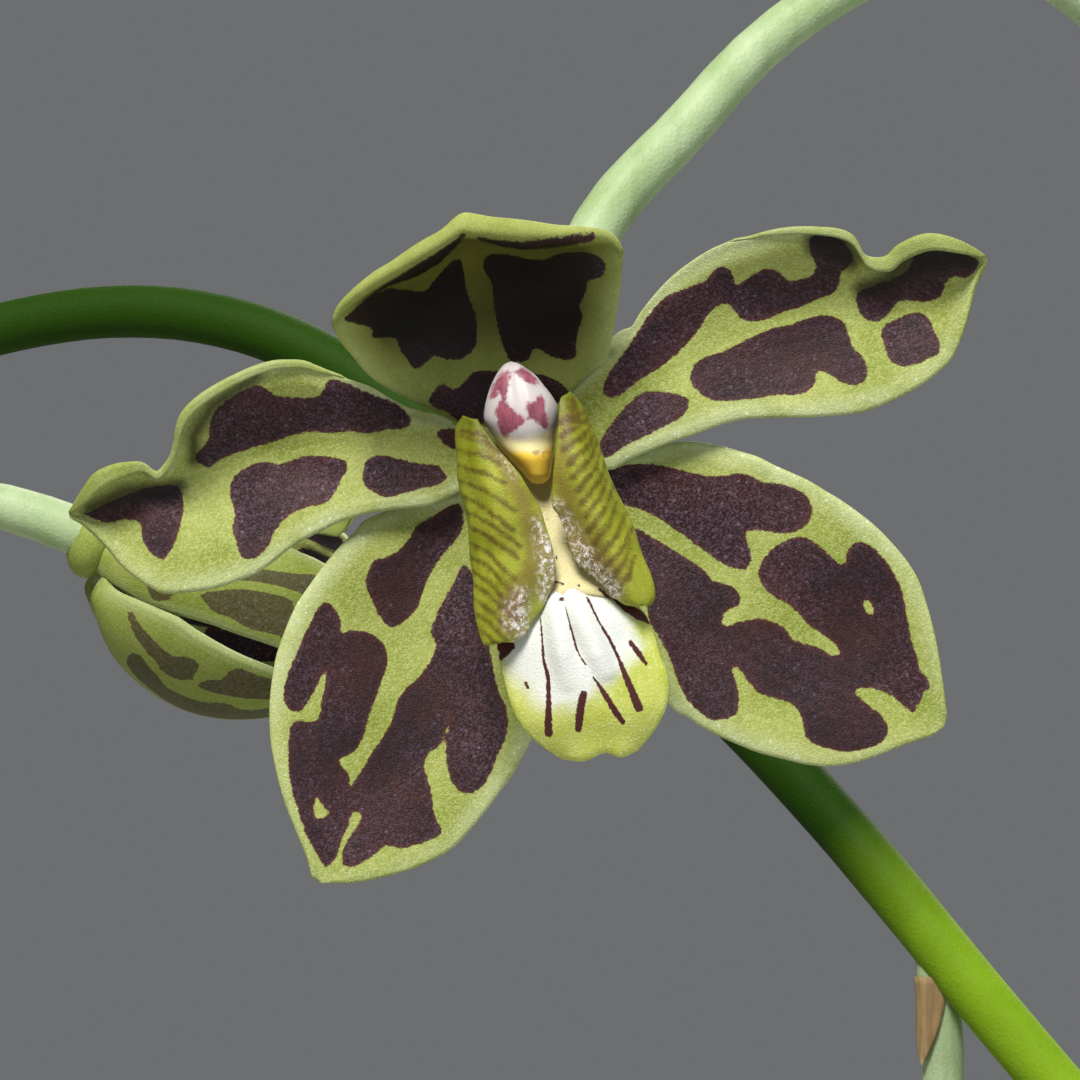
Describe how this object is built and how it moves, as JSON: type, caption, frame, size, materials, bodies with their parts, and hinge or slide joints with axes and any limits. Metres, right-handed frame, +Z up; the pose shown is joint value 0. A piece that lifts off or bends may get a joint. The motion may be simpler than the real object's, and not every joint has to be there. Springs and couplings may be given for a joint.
{
  "type": "potted grammatophyllum scriptum orchid",
  "caption": "Potted tiger orchid: clay pot of bark, pseudobulbs with strap leaves, and arching flower spikes of green blooms blotched maroon-brown.",
  "frame": {"origin": "centre of the pot's flat underside, on the surface that it stands on", "axes": "+Z up; -Y towards the viewer of the front flower; +X to that viewer's right"},
  "size_m": [0.6632, 0.5747, 0.8687],
  "materials": {
    "clay": "matte",
    "bark": "matte",
    "pseudobulb": "satin",
    "leaf": "satin",
    "stem": "satin",
    "tepal": "matte",
    "lip": "satin",
    "column": "gloss"
  },
  "bodies": {
    "root": {"bark": "bark", "bulb_front": "pseudobulb", "bulb_left": "pseudobulb", "bulb_old": "pseudobulb", "bulb_right": "pseudobulb", "front_flower": "tepal", "front_flower_column": "column", "front_flower_lip": "lip", "leaves_front": "leaf", "leaves_left": "leaf", "leaves_old": "leaf", "leaves_right": "leaf", "pot": "clay", "spike_left": "stem", "spike_left_flower_1": "tepal", "spike_left_flower_1_lip": "lip", "spike_left_flower_2": "tepal", "spike_left_flower_2_lip": "lip", "spike_left_flower_3": "tepal", "spike_left_flower_3_lip": "lip", "spike_left_flower_4": "tepal", "spike_left_flower_4_lip": "lip", "spike_left_flower_5": "tepal", "spike_left_flower_6": "tepal", "spike_left_flower_6_lip": "lip", "spike_left_flower_7": "tepal", "spike_left_flower_7_lip": "lip", "spike_right": "stem", "spike_right_flower_1": "tepal", "spike_right_flower_1_lip": "lip", "spike_right_flower_2": "tepal", "spike_right_flower_2_lip": "lip", "spike_right_flower_3": "tepal", "spike_right_flower_3_lip": "lip", "spike_right_flower_4": "tepal", "spike_right_flower_4_lip": "lip", "spike_right_flower_5": "tepal", "spike_right_flower_5_lip": "lip", "spike_right_flower_6": "tepal", "spike_right_flower_6_lip": "lip", "spike_right_flower_7": "tepal", "spike_right_flower_7_lip": "lip"}
  },
  "joints": []
}
